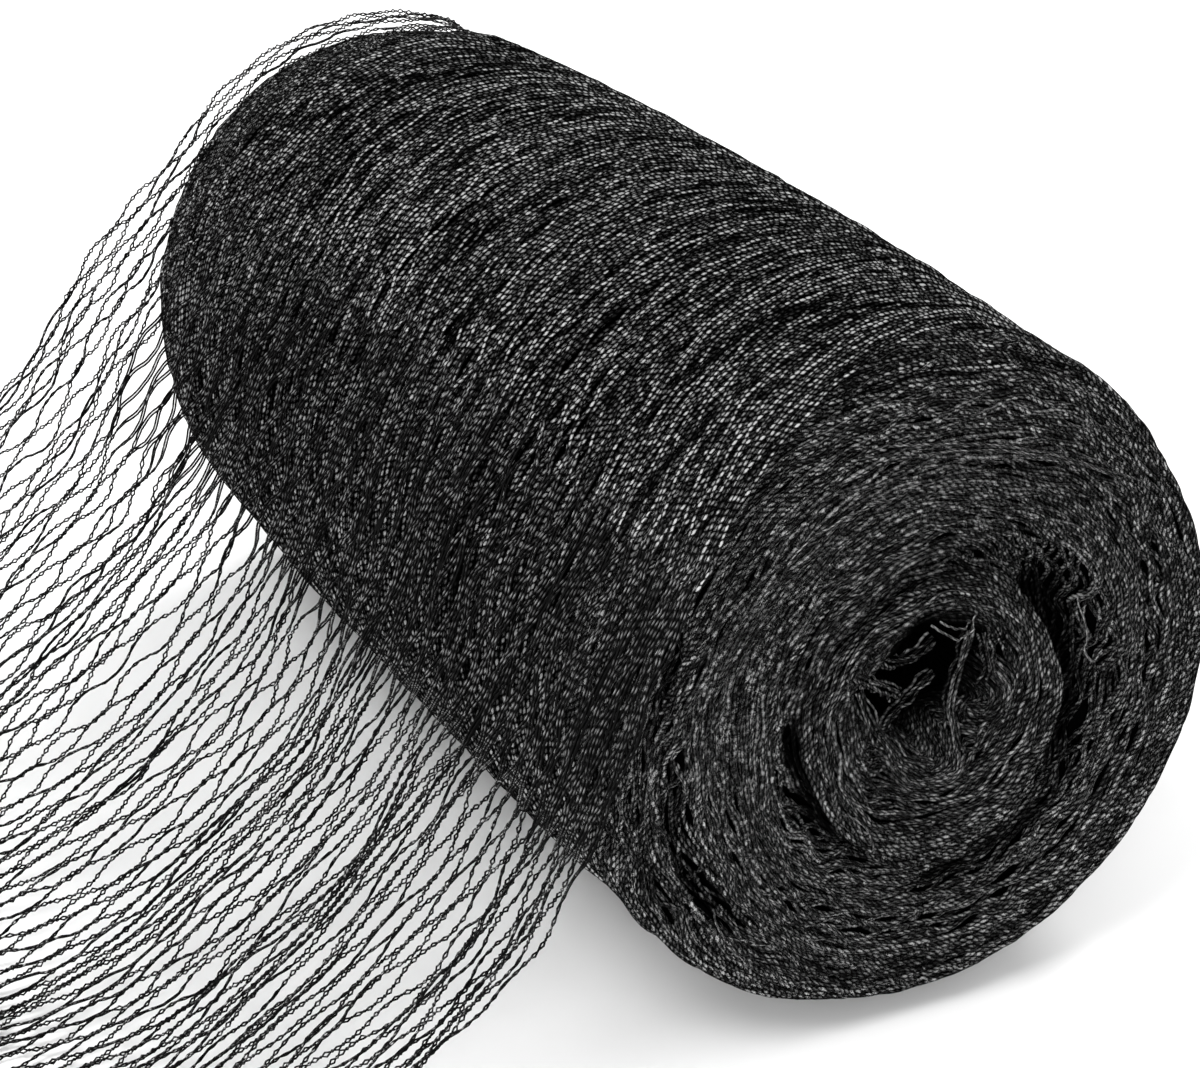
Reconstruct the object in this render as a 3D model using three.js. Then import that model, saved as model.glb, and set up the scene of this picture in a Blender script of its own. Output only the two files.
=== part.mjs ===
// Roll of black knitted pond netting with its loose end hanging off and lying on the floor.
// Millimetres, +Z up. X runs along the roll, from its far end to its near end.
// The origin is the middle of the small flat spot that the roll rests on.
import * as THREE from 'three';

// The wound roll: an oval section, swollen a little along its middle and rounder at its near end
const HALF_HEIGHT = 82;
const WIDTH_RATIO = 0.92;
const NEAR_WIDENING = 0.07;
const BODY_LENGTH = 255;
const CROWN = 4.3;
const AXIS_HEIGHT = 82.5;
const NEAR_SHOULDER = BODY_LENGTH / 2;

// The outer turn: it ends in a step, where the loose layer starts
const LAYER_START = THREE.MathUtils.degToRad(72);
const LAYER_STEP = 2.8;
const STEP_WIDTH = THREE.MathUtils.degToRad(0.6);
const STEP_FADES = 5;
const ALMOST_A_TURN = 1 - 1e-7;

// Each end in half-heights: how far out it stands, and its distance from the axis
const NEAR_END = [
  { out: 0, from_axis: 1 },
  { out: 0.13, from_axis: 1.02 },
  { out: 0.26, from_axis: 1.005 },
  { out: 0.37, from_axis: 0.925 },
  { out: 0.408, from_axis: 0.8 },
  { out: 0.388, from_axis: 0.6 },
  { out: 0.4, from_axis: 0.4 },
  { out: 0.386, from_axis: 0.28 },
  { out: 0.32, from_axis: 0.205 },
  { out: 0.19, from_axis: 0.155 },
  { out: 0.14, from_axis: 0.075 },
];
const FAR_END = [
  { out: 0, from_axis: 1 },
  { out: 0.18, from_axis: 0.975 },
  { out: 0.33, from_axis: 0.9 },
  { out: 0.43, from_axis: 0.77 },
  { out: 0.458, from_axis: 0.6 },
  { out: 0.44, from_axis: 0.4 },
  { out: 0.37, from_axis: 0.27 },
  { out: 0.22, from_axis: 0.18 },
  { out: 0.17, from_axis: 0.08 },
];

// The near end's upper half sags a little under its own weight
const NEAR_SAG = 0.035;

// The main twist: one spiral groove over each end, and the crevice around the core's turns
const TWIST_PITCH = 15;
const TWIST_DEPTH = 2.6;
const TWIST_FADE = 22;
const HOLLOW_RADIUS = 12;
const LAST_RADIUS = 3;
const CREVICE_RADIUS = 0.47 * HALF_HEIGHT;
const CREVICE_SHIFT = 7;
const CREVICE_SHIFTS_TO = THREE.MathUtils.degToRad(-60);
const CREVICE_DEPTH = 8;
const CREVICE_WIDTH = 3.4;
const CREVICE_OPENING = 3.4;
const CREVICE_OPENS_AT = THREE.MathUtils.degToRad(25);

// The folds that are pushed into the hollow of each end
const FOLDS = 5;
const FOLD_DEPTH = 0.2;
const FOLD_REACH = 0.34 * HALF_HEIGHT;
const FOLD_TURNS = THREE.MathUtils.degToRad(40);

// Facets of the roll
const COLUMNS = 56;
const NEAR_ROWS = 29;
const FAR_ROWS = 14;
const BODY_ROWS = 6;

// The loose layer: thickness, its seat over the roll, and the route of the part that hangs free
const SHEET = 1.6;
const SEAT_GAP = 1.1;
const FLARE_LIFT = 2.2;
const FLARE_REACH = 14;
const LEAVES_AT = THREE.MathUtils.degToRad(141);
const SEATED_LINES = 6;
const FREE_ROUTE = [
  { near_y: -59, near_z: 134.5, far_y: -60, far_z: 136.5 },
  { near_y: -68, near_z: 122, far_y: -71, far_z: 124 },
  { near_y: -77, near_z: 109, far_y: -80, far_z: 113 },
  { near_y: -83, near_z: 97, far_y: -88, far_z: 101 },
  { near_y: -87.5, near_z: 85, far_y: -97, far_z: 89 },
  { near_y: -93, near_z: 73, far_y: -105, far_z: 77 },
  { near_y: -99.5, near_z: 62, far_y: -115, far_z: 64 },
  { near_y: -107, near_z: 50, far_y: -127, far_z: 53 },
  { near_y: -117.5, near_z: 39, far_y: -139, far_z: 41.5 },
  { near_y: -128.5, near_z: 30, far_y: -150, far_z: 31.5 },
  { near_y: -141, near_z: 21.5, far_y: -162, far_z: 22.5 },
  { near_y: -154, near_z: 13, far_y: -176, far_z: 14 },
  { near_y: -168, near_z: 6.5, far_y: -191, far_z: 7.5 },
  { near_y: -184, near_z: 2.2, far_y: -207, far_z: 3 },
  { near_y: -204, near_z: 0.8, far_y: -226, far_z: 0.8 },
  { near_y: -224, near_z: 0.8, far_y: -240, far_z: 0.8 },
];
const FREE_LINES = 10;

// Where the layer's two edges run along X, at its start, where it leaves the roll, and at its end
const NEAR_EDGE = { start: 134, leaves: 171, end: 160 };
const FAR_EDGE = { start: -150, leaves: -154, end: -166 };

// The net: diamonds at twice the real pitch, closer at both edges, and the cords between them
const DIAMONDS = 33;
const EDGE_CROWDING = 0.45;
const CORD = 1.6;
const KNOT_REACH = 0.16;
const SMALLEST_GAP = 4;

// Soft waves of the free part
const WAVE_HEIGHT = 2.4;
const WAVES_ACROSS = 2.5;
const WAVE_DRIFT = 3;

// Shares of the free length that follow the roll's swell, and that hang above the floor
const HELD_SHARE = 0.35;
const HANGING_SHARE = 0.75;

// Step for slopes, in lines and in shares of the width
const NEARBY = 0.02;

const netting = new THREE.MeshStandardMaterial({ color: 0x1b1c1c, roughness: 0.5, metalness: 0 });

// Share of a turn since the loose layer's start
function turnShare(angle) {
  const share = (angle - LAYER_START) / (2 * Math.PI);
  return share - Math.floor(share);
}

// Radius of the wound body, measured upwards, at a place along the roll
function bodyRadius(x, angle) {
  const along = THREE.MathUtils.clamp((2 * x) / BODY_LENGTH, -1, 1);
  return HALF_HEIGHT + CROWN * (1 - along * along) - LAYER_STEP * (1 - turnShare(angle));
}

function onSection(x, radius, angle) {
  const ratio = WIDTH_RATIO + NEAR_WIDENING * THREE.MathUtils.smoothstep(x, 0, NEAR_SHOULDER);
  return new THREE.Vector3(x, radius * ratio * Math.cos(angle), AXIS_HEIGHT + radius * Math.sin(angle));
}

// Angles of the columns: even steps, with one more just inside the step of the outer turn
function columnAngles() {
  const angles = [LAYER_START + STEP_WIDTH];
  for (let column = 1; column < COLUMNS; column += 1) {
    const share = Math.min(column / (COLUMNS - 1), ALMOST_A_TURN);
    angles.push(LAYER_START + 2 * Math.PI * share);
  }
  return angles;
}

// Depth of the turns' grooves over an end
function twistDepth(travelled, radius, angle) {
  const phase = travelled / TWIST_PITCH + angle / (2 * Math.PI);
  const rises = Math.min(1, travelled / TWIST_FADE);
  const groove = TWIST_DEPTH * rises * (0.5 - 0.5 * Math.cos(2 * Math.PI * phase));
  const middle = CREVICE_RADIUS + CREVICE_SHIFT * Math.cos(angle - CREVICE_SHIFTS_TO);
  const opens = Math.max(0, Math.cos(angle - CREVICE_OPENS_AT));
  const off = (radius - middle) / (CREVICE_WIDTH + CREVICE_OPENING * opens * opens);
  const crevice = CREVICE_DEPTH * (0.7 + 0.3 * opens) * Math.exp(-off * off);
  return (groove * Math.min(1, radius / CREVICE_RADIUS) + crevice) * Math.min(1, radius / HOLLOW_RADIUS);
}

// Share by which the hollow's wall is pushed in between its folds
function foldShare(radius, angle) {
  const near = Math.max(0, 1 - radius / FOLD_REACH);
  return FOLD_DEPTH * Math.sqrt(near) * Math.cos(FOLDS * (angle + FOLD_TURNS * near));
}

// Rows of points over one end, from its shoulder to its middle
function endRows(outline, rows, side, angles, sag) {
  const curve = new THREE.SplineCurve(
    outline.map((p) => new THREE.Vector2(p.out * HALF_HEIGHT, p.from_axis * HALF_HEIGHT)),
  );
  const points = curve.getSpacedPoints(rows);
  const length = curve.getLength();
  const made = [];
  for (let row = 1; row <= rows; row += 1) {
    const share = row / rows;
    const tangent = curve.getTangentAt(share);
    const ring = angles.map((angle) => {
      const step = bodyRadius(side * NEAR_SHOULDER, angle) - HALF_HEIGHT;
      const swell = 1 + (step / HALF_HEIGHT) * (points[row].y / HALF_HEIGHT) ** STEP_FADES;
      const deep = twistDepth(share * length, points[row].y, angle);
      const out = points[row].x + tangent.y * deep;
      const sunk = 1 - sag * Math.min(1, share * length / TWIST_FADE) * Math.max(0, Math.sin(angle));
      const folded = 1 - foldShare(points[row].y, angle);
      const radius = Math.max(LAST_RADIUS, (points[row].y - tangent.x * deep) * swell * sunk * folded);
      return onSection(side * (NEAR_SHOULDER + out), radius, angle);
    });
    made.push(ring);
  }
  return made;
}

function closedMesh(positions, triangles) {
  const geometry = new THREE.BufferGeometry();
  geometry.setAttribute('position', new THREE.Float32BufferAttribute(positions.flatMap((p) => p.toArray()), 3));
  geometry.setIndex(triangles.flat());
  geometry.computeVertexNormals();
  return geometry;
}

function woundRoll() {
  const angles = columnAngles();
  const rings = endRows(FAR_END, FAR_ROWS, -1, angles, 0).reverse();
  for (let row = 0; row <= BODY_ROWS; row += 1) {
    const x = -NEAR_SHOULDER + (BODY_LENGTH * row) / BODY_ROWS;
    rings.push(angles.map((angle) => onSection(x, bodyRadius(x, angle), angle)));
  }
  rings.push(...endRows(NEAR_END, NEAR_ROWS, 1, angles, NEAR_SAG));
  const points = rings.flat();
  points.forEach((p) => { p.z = Math.max(0, p.z); });
  const triangles = [];
  for (let row = 0; row + 1 < rings.length; row += 1) {
    for (let column = 0; column < COLUMNS; column += 1) {
      const next = (column + 1) % COLUMNS;
      const a = row * COLUMNS + column;
      const b = row * COLUMNS + next;
      triangles.push([a, b, b + COLUMNS], [a, b + COLUMNS, a + COLUMNS]);
    }
  }
  const middle = (ring) => ring.reduce((sum, p) => sum.add(p), new THREE.Vector3()).divideScalar(COLUMNS);
  const first = points.push(middle(rings[0])) - 1;
  const last = points.push(middle(rings[rings.length - 1])) - 1;
  const lastRing = (rings.length - 1) * COLUMNS;
  for (let column = 0; column < COLUMNS; column += 1) {
    const next = (column + 1) % COLUMNS;
    triangles.push([first, next, column], [last, lastRing + column, lastRing + next]);
  }
  return closedMesh(points, triangles);
}

// The free route at the layer's two edges, seen along the roll
const nearRoute = new THREE.SplineCurve(FREE_ROUTE.map((p) => new THREE.Vector2(p.near_y, p.near_z)));
const farRoute = new THREE.SplineCurve(FREE_ROUTE.map((p) => new THREE.Vector2(p.far_y, p.far_z)));

function edgeAt(edge, line) {
  if (line <= SEATED_LINES) return THREE.MathUtils.lerp(edge.start, edge.leaves, line / SEATED_LINES);
  return THREE.MathUtils.lerp(edge.leaves, edge.end, (line - SEATED_LINES) / FREE_LINES);
}

// Height of the layer's middle over the wound body: it lifts over the near end's flare
function seatHeight(x) {
  const flare = THREE.MathUtils.smoothstep(x, NEAR_SHOULDER - FLARE_REACH, NEAR_SHOULDER + FLARE_REACH / 2);
  return SEAT_GAP + SHEET / 2 + FLARE_LIFT * flare;
}

// A point in the middle of the layer: line counts along its yarns, across runs 0 to 1 from far to near
function layerMiddle(line, across) {
  const x = THREE.MathUtils.lerp(edgeAt(FAR_EDGE, line), edgeAt(NEAR_EDGE, line), across);
  if (line < SEATED_LINES) {
    const angle = THREE.MathUtils.lerp(LAYER_START + 2 * STEP_WIDTH, LEAVES_AT, line / SEATED_LINES);
    return onSection(x, bodyRadius(x, angle) + seatHeight(x), angle);
  }
  const share = Math.min(1, (line - SEATED_LINES) / FREE_LINES);
  const near = nearRoute.getPointAt(share);
  const far = farRoute.getPointAt(share);
  const leaving = onSection(x, bodyRadius(x, LEAVES_AT) + seatHeight(x), LEAVES_AT);
  const startY = THREE.MathUtils.lerp(FREE_ROUTE[0].far_y, FREE_ROUTE[0].near_y, across);
  const startZ = THREE.MathUtils.lerp(FREE_ROUTE[0].far_z, FREE_ROUTE[0].near_z, across);
  const held = Math.max(0, 1 - share / HELD_SHARE) ** 2;
  const hangs = Math.sin(Math.PI * Math.min(1, share / HANGING_SHARE)) ** 2;
  const wave = WAVE_HEIGHT * hangs * Math.sin(2 * Math.PI * WAVES_ACROSS * across + WAVE_DRIFT * share);
  const y = THREE.MathUtils.lerp(far.x, near.x, across) + held * (leaving.y - startY);
  const z = THREE.MathUtils.lerp(far.y, near.y, across) + held * (leaving.z - startZ) + wave;
  return new THREE.Vector3(x, y, Math.max(SHEET / 2, z));
}

function layerNormal(line, across) {
  const along = layerMiddle(line + NEARBY, across).sub(layerMiddle(line - NEARBY, across));
  const over = layerMiddle(line, across + NEARBY).sub(layerMiddle(line, across - NEARBY));
  return along.cross(over).normalize();
}

// Yarns crowd together at both edges of the net
function crowded(share) {
  return share - (EDGE_CROWDING * Math.sin(2 * Math.PI * share)) / (2 * Math.PI);
}

// The knots of one line: each has a left, a right, and a middle point on either side along the yarns
function knotsOnLine(line, lines, points) {
  const staggered = line % 2 === 1;
  const count = staggered ? DIAMONDS : DIAMONDS + 1;
  const width = edgeAt(NEAR_EDGE, line) - edgeAt(FAR_EDGE, line);
  const before = line === 0 ? 0 : -KNOT_REACH;
  const after = line === lines ? 0 : KNOT_REACH;
  const knots = [];
  for (let index = 0; index < count; index += 1) {
    const across = crowded((index + (staggered ? 0.5 : 0)) / DIAMONDS);
    const half = CORD / width;
    const left = !staggered && index === 0 ? across : across - half;
    const right = !staggered && index === DIAMONDS ? across : across + half;
    const add = (l, a) => points.push({ line: l, across: a }) - 1;
    const knot = { left_at: left, right_at: right };
    knot.before = add(line + before, across);
    knot.after = line === 0 ? knot.before : add(line + after, across);
    knot.left = left === across ? null : add(line, left);
    knot.right = right === across ? null : add(line, right);
    knots.push(knot);
  }
  return knots;
}

// The layer as a net: triangles run anticlockwise with across to the right and lines upwards
function netFaces(rows, lines) {
  const faces = [];
  const face = (...corners) => {
    if (!corners.includes(null) && new Set(corners).size === 3) faces.push(corners);
  };
  const cell = (below, right, above, left) => {
    if (below !== null) face(below, right, left);
    if (above !== null) face(right, above, left);
  };
  rows.forEach((knots, line) => {
    const shift = line % 2 === 0 ? -1 : 0;
    const nextRow = rows[line + 1] ?? [];
    const lastRow = rows[line - 1] ?? [];
    knots.forEach((knot, index) => {
      face(knot.left, knot.before, knot.after);
      face(knot.before, knot.right, knot.after);
      const upLeft = nextRow[index + shift];
      const upRight = nextRow[index + shift + 1];
      if (upLeft) {
        face(knot.left, knot.after, upLeft.right);
        face(knot.left, upLeft.right, upLeft.before);
      }
      if (upRight) {
        face(knot.after, knot.right, upRight.before);
        face(knot.after, upRight.before, upRight.left);
      }
      const neighbour = knots[index + 1];
      if (neighbour && !isOpen(knot, neighbour, line, lines)) {
        const below = lastRow[index + shift + 1]?.after ?? null;
        cell(below, neighbour.left, upRight?.before ?? null, knot.right);
      }
    });
    if (line % 2 === 0 && line + 2 <= lines) {
      const twoOn = rows[line + 2];
      face(knots[0].after, nextRow[0].left, twoOn[0].before);
      face(knots[DIAMONDS].after, twoOn[DIAMONDS].before, nextRow[DIAMONDS - 1].right);
    }
  });
  return faces;
}

function isOpen(knot, neighbour, line, lines) {
  const width = edgeAt(NEAR_EDGE, line) - edgeAt(FAR_EDGE, line);
  const gap = (neighbour.left_at - knot.right_at) * width;
  return gap > SMALLEST_GAP && line > SEATED_LINES && line < lines;
}

function looseLayer() {
  const lines = SEATED_LINES + FREE_LINES;
  const places = [];
  const rows = [];
  for (let line = 0; line <= lines; line += 1) rows.push(knotsOnLine(line, lines, places));
  const faces = netFaces(rows, lines);
  const outer = [];
  const inner = [];
  places.forEach(({ line, across }) => {
    const middle = layerMiddle(line, across);
    const normal = layerNormal(line, across).multiplyScalar(SHEET / 2);
    const inside = middle.clone().sub(normal);
    const outside = middle.clone().add(normal);
    const lift = Math.max(0, -Math.min(inside.z, outside.z));
    inner.push(inside.setZ(inside.z + lift));
    outer.push(outside.setZ(outside.z + lift));
  });
  const count = places.length;
  const edges = new Set(faces.flatMap(([a, b, c]) => [[a, b], [b, c], [c, a]].map(String)));
  const triangles = faces.flatMap(([a, b, c]) => [[c, b, a], [a + count, b + count, c + count]]);
  faces.forEach(([a, b, c]) => [[a, b], [b, c], [c, a]].forEach(([from, to]) => {
    if (edges.has(String([to, from]))) return;
    triangles.push([from, to, to + count], [from, to + count, from + count]);
  }));
  return closedMesh([...outer, ...inner], triangles);
}

function namedMesh(name, geometry) {
  const mesh = new THREE.Mesh(geometry, netting);
  mesh.name = name;
  return mesh;
}

const roll = new THREE.Group();
roll.add(namedMesh('net_roll', woundRoll()));
roll.add(namedMesh('net_loose_end', looseLayer()));

export default roll;
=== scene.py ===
import math
import bpy
import numpy as np
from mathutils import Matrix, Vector
from mathutils.bvhtree import BVHTree


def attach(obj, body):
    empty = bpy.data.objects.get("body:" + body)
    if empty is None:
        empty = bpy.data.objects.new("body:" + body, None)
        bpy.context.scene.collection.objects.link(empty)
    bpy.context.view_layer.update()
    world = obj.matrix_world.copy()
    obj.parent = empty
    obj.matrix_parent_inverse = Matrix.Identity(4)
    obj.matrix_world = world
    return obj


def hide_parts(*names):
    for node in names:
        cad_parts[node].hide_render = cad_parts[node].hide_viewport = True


# Roll of black knitted pond netting: the wound roll, and its outer layer hanging off to the floor.
# Metres, +Z up, +X along the roll to its near end. MM turns the sizes below into metres.

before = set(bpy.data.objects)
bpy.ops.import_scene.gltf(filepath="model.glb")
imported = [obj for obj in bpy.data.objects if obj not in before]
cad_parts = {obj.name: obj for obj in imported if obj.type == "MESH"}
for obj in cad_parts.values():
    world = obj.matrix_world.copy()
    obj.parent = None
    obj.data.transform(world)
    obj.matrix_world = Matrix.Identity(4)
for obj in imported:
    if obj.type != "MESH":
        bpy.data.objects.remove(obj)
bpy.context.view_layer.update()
MM = 0.001

# The roll
HALF_HEIGHT = 82 * MM
WIDTH_RATIO = 0.92
NEAR_WIDENING = 0.07
BODY_LENGTH = 255 * MM
CROWN = 4.3 * MM
AXIS_HEIGHT = 82.5 * MM
SHOULDER = BODY_LENGTH / 2
FAN_INSET = 20 * MM

# The loose layer's seat on the roll
LAYER_START = math.radians(72)
LAYER_STEP = 2.8 * MM
LEAVES_AT = math.radians(141)
SEAT_HEIGHT = 1.9 * MM
FLARE_LIFT = 2.2 * MM
FLARE_REACH = 14 * MM
SEATED_LINES = 6
FREE_LINES = 10
TUCK_LINES = 0.6

# Its free route: across the roll, near and far edge, in millimetres (y, z)
FREE_ROUTE = [
    ((-59, 134.5), (-60, 136.5)),
    ((-68, 122), (-71, 124)),
    ((-77, 109), (-80, 113)),
    ((-83, 97), (-88, 101)),
    ((-87.5, 85), (-97, 89)),
    ((-93, 73), (-105, 77)),
    ((-99.5, 62), (-115, 64)),
    ((-107, 50), (-127, 53)),
    ((-117.5, 39), (-139, 41.5)),
    ((-128.5, 30), (-150, 31.5)),
    ((-141, 21.5), (-162, 22.5)),
    ((-154, 13), (-176, 14)),
    ((-168, 6.5), (-191, 7.5)),
    ((-184, 2.2), (-207, 3)),
    ((-204, 0.8), (-226, 0.8)),
    ((-224, 0.8), (-240, 0.8)),
]

# Its two edges' places along the roll: where it starts, where it leaves the roll and at its cut end
NEAR_EDGE = (134 * MM, 171 * MM, 160 * MM)
FAR_EDGE = (-150 * MM, -154 * MM, -166 * MM)

# Shares of the free route over which it is held to the roll's curve and hangs, and the waves across it
HELD_SHARE = 0.35
HANGING_SHARE = 0.75
WAVE_HEIGHT = 2.4 * MM
WAVES_ACROSS = 2.5
WAVE_DRIFT = 3

# The loose net: its yarns, the lens-shaped meshes between them and the stitches of their chains
LOOSE_YARNS = 114
CROWDING = 0.35
JOINT_SHARE = 0.22
LINE_LENGTH = 22.8 * MM
SEATED_LINE_LENGTH = 17.5 * MM
STITCH = 1.35 * MM
STRAND_SWING = 0.35 * MM
STRAND_TWIST = 1.1
STRAND_LIFT = 0.17 * MM
STRAND_WIDTH = 0.27 * MM
STRAND_HEIGHT = 0.27 * MM
TREMBLE = 0.07 * MM
OPEN_EDGE_YARNS = 9
CLEAR_EDGE_YARNS = 14
OPENS_AT_LINE = 9.2
YARN_WIDTH = 1.2 * MM
SEATED_YARN_HEIGHT = 0.45 * MM
SEATED_STEP = 1.7 * MM
LOOSE_STRIPS = ("loose_net_far", "loose_net_middle", "loose_net_near")

# Where a loose chain is still closed: its strands are wider and calmer, its stitches longer and their painted
# highlights dimmer
CLOSED_WIDENING = 1.5
CLOSED_TREMBLE = 0.3
CLOSED_SHADE = 0.6

# Share of any yarn's height that lies under its middle line
FOOT_SHARE = 0.4

# The roll's own yarns: flat chains, laid in layers (height in mm, count, points around)
ROLL_YARN_WIDTH = 0.72 * MM
ROLL_YARN_HEIGHT = 0.5 * MM
ROLL_STITCH = 1.8 * MM
FLOOR_GAP = ROLL_YARN_HEIGHT * 1.1
BODY_LAYERS = ((-1.2, 120, 90), (-0.55, 116, 130), (0.1, 112, 160))
END_LAYERS = (-0.9, -0.35, 0.2)
END_SPACING = 1.65 * MM
DARK_BODY_DEPTH = 1.9 * MM

# How the roll's yarns stray: their shortest and longest waves, the sway that they share and their own
BODY_WAVES = (14 * MM, 70 * MM)
END_WAVES = (11 * MM, 32 * MM)
BODY_SHARED_SWAY = 1.0 * MM
BODY_OWN_SWAY = 0.6 * MM
END_SHARED_SWAY = 0.7 * MM
NEAR_OWN_SWAY = 0.8 * MM
CORE_OWN_SWAY = 0.7 * MM
SWAY_LENGTH = 30 * MM
LIFT_SWAY = 0.3 * MM

# How far the body's yarns run on over the shoulders, where the ends' yarns begin, and the core's
FAR_RUN_ON = 40 * MM
NEAR_RUN_ON = 45 * MM
END_INSET = 20 * MM
CORE_REACH = 50 * MM
POLE_GAP = 1 * MM

# Creases of the near end: (angle in degrees, distance from the axis in mm) along each, width, depth
CREASES = [
    ([(-97, 47), (-77, 48), (-48, 49.5), (-28, 46.5)], 1.8, 4),
    ([(-40, 47), (-11, 44.5), (0, 42), (15, 39.5), (30, 38), (48, 37)], 5, 4.5),
    ([(172, 37), (189, 34.8), (206, 34.5), (241, 39.2), (256, 42)], 2, 3),
    ([(118, 42.5), (140, 42), (158, 42.4), (176, 45)], 3.4, 3.5),
    ([(150, 72), (173, 70.3), (188, 68.3), (207, 69.3), (221, 68.1), (230, 66)], 2.8, 9),
    ([(181, 63), (191, 64.3), (209, 67.4), (222, 68)], 2, 6),
    ([(190, 80.5), (198, 79.5), (202, 77.7), (211, 75.7), (225, 73)], 2, 6),
    ([(52, 78), (67, 79.8), (80, 80.5)], 1.5, 3),
]

# Folds pushed into the hollow of the near end: (x, y, height over the axis) in mm along each
HOLLOW_FOLDS = [
    [(160, 7, 19), (157, 7.5, 11), (153, 8.5, 2.6), (152, 7.9, -4.8), (154, 7.9, -9.6), (158, 6.5, -14)],
    [(160, 11, 17), (156, 15, 9.2), (153, 18, 2), (151, 16.6, -3.7), (150, 13.4, -6.9), (151, 11, -10)],
    [(159, 17, 14), (157, 22, 6), (156, 23.5, -2.3), (156, 20.3, -6.7), (157, 16.4, -9.7), (159, 12, -14)],
    [(159, -21, 9), (160, -18, 0.7), (160, -13.7, -5.4), (159, -8.2, -11.8), (158, 0, -15.5)],
    [(160, -23, 14), (157, -17, 9.1), (154, -11, 5), (150, -5, 0)],
    [(159, -19, 18), (155, -10.7, 12), (152, -3.5, 9.9), (151, 3, 13)],
    [(156, -14, -6), (151, -7, -4), (148, 0, -2), (147, 6, 2)],
]
FOLD_RADIUS = 1.5 * MM
FOLD_YARNS = 4
FOLD_YARN_WIDTH = 0.55 * MM
FOLD_POINTS = 44
FOLD_SWAY = 0.25 * MM
# FOLD_SHADE: painted shade, the folds' yarns a little darker than the open surface
FOLD_SHADE = 0.9

# The hollow's place over the axis, its size and how dark its painted shade is
HOLLOW_RISE = 5 * MM
HOLLOW_RADIUS = 20 * MM
HOLLOW_SHADE = 0.06

# Stray loops and a few slack yarns over the near end, in mm like the folds
STRAY_YARNS = [
    [(161, -3.2, 21.5), (162, 0.9, 18.4), (162, 4.3, 17), (161, 7.5, 18.4), (160, 9, 21)],
    [(161, -1.2, 22), (163, 2.8, 20.1), (161, 6.8, 20)],
    [(160, 36, 20), (162, 38, 12), (161, 39, 5), (161, 42, 2), (161, 43.5, 5)],
    [(161, -24, -21), (163, -20, -24), (162, -17, -30), (161, -16, -33)],
    [(158, -56, -38), (159, -54, -45), (157, -48, -49), (158, -43, -48)],
    [(160.5, -16, 67), (161.5, 4, 64), (162, 22, 59), (162, 40, 51), (160, 52, 45)],
    [(161, -8, 64), (162, 12, 61), (162, 30, 55), (161, 46, 47)],
    [(160, -40, 44), (161, -34, 50), (161, -22, 54), (161, -12, 55)],
]
STRAY_WIDTH = 0.3 * MM
# STRAY_SHADE: painted light, the stray loops' highlights brighter than those on the roll
STRAY_SHADE = 1.5

# Looks: how a painted glint turns into grey base colour, as (glint, grey) stops, painting each stitch's
# highlight and the near-black shade around it; how the painted shade of the slits between bunches lies
STRAND_GREYS = [(0.0, 0.0005), (0.15, 0.003), (0.4, 0.08), (0.8, 0.45)]
CHAIN_GREYS = [(0.0, 0.0003), (0.07, 0.002), (0.19, 0.012), (0.34, 0.06), (0.52, 0.18), (0.85, 0.4)]
SLIT_SCALE = 320
SLIT_STRETCH = 0.05
SLIT_CONTRAST = 7.0
SLIT_OFFSET = -2.2
SLIT_FLOOR = 0.3

# A yarn's tone, 0 to 1, also shifts its stitches and picks how bright their painted highlights are, stitch by
# stitch and for the yarn as a whole
TONE_SHIFT = 31.7
STRAND_TONE_PICK = 19.3
CHAIN_TONE_PICK = 613.0
TONE_STREAK = 7.3

# Camera, as fitted to the photograph's outline
CAMERA_PLACE = (0.7075, -0.3671, 0.4300)
CAMERA_TURN = math.radians(27.24)
CAMERA_TILT = math.radians(24.95)
CAMERA_LENS = 99.0

# Lamps: name, place, target, size and power
LAMPS = [
    ("key", (0.5, -0.9, 1.6), (0, -0.05, 0.08), 0.9, 22),
    ("back", (-0.9, 0.9, 1.3), (0, 0, 0.08), 0.7, 14),
    ("front", (1.5, -0.9, 0.6), (0.1, -0.05, 0.05), 0.9, 20),
]
WORLD_STRENGTH = 0.85
FLOOR_HALF_SIZE = 12


def smoothstep(value, low, high):
    share = np.clip((value - low) / (high - low), 0, 1)
    return share * share * (3 - 2 * share)


def mix(a, b, share):
    return a + (b - a) * share


def unit(vectors):
    return vectors / np.maximum(np.linalg.norm(vectors, axis=-1, keepdims=True), 1e-12)


class Waves:
    """Smooth noise over two numbers: a sum of plain waves with fixed random phases."""

    def __init__(self, seed, count, first_scale, second_scale):
        source = np.random.default_rng(seed)
        turn = source.uniform(0, 2 * math.pi, count)
        pace = source.uniform(0.35, 1.0, count)
        self.first = 2 * math.pi * first_scale * pace * np.cos(turn)
        self.second = 2 * math.pi * second_scale * pace * np.sin(turn)
        self.phase = source.uniform(0, 2 * math.pi, count)
        self.level = math.sqrt(2 / count)

    def at(self, first, second):
        first, second = np.broadcast_arrays(first, second)
        total = np.zeros(first.shape)
        for a, b, phase in zip(self.first, self.second, self.phase):
            total += np.sin(a * first + b * second + phase)
        return total * self.level


def turn_share(angle):
    share = (angle - LAYER_START) / (2 * math.pi)
    return share - np.floor(share)


def body_radius(x, angle):
    along = np.clip(x / SHOULDER, -1, 1)
    return HALF_HEIGHT + CROWN * (1 - along**2) - LAYER_STEP * (1 - turn_share(angle))


def on_section(x, radius, angle):
    ratio = WIDTH_RATIO + NEAR_WIDENING * smoothstep(x, 0, SHOULDER)
    return np.stack([x, radius * ratio * np.cos(angle), AXIS_HEIGHT + radius * np.sin(angle)], axis=-1)


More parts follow.
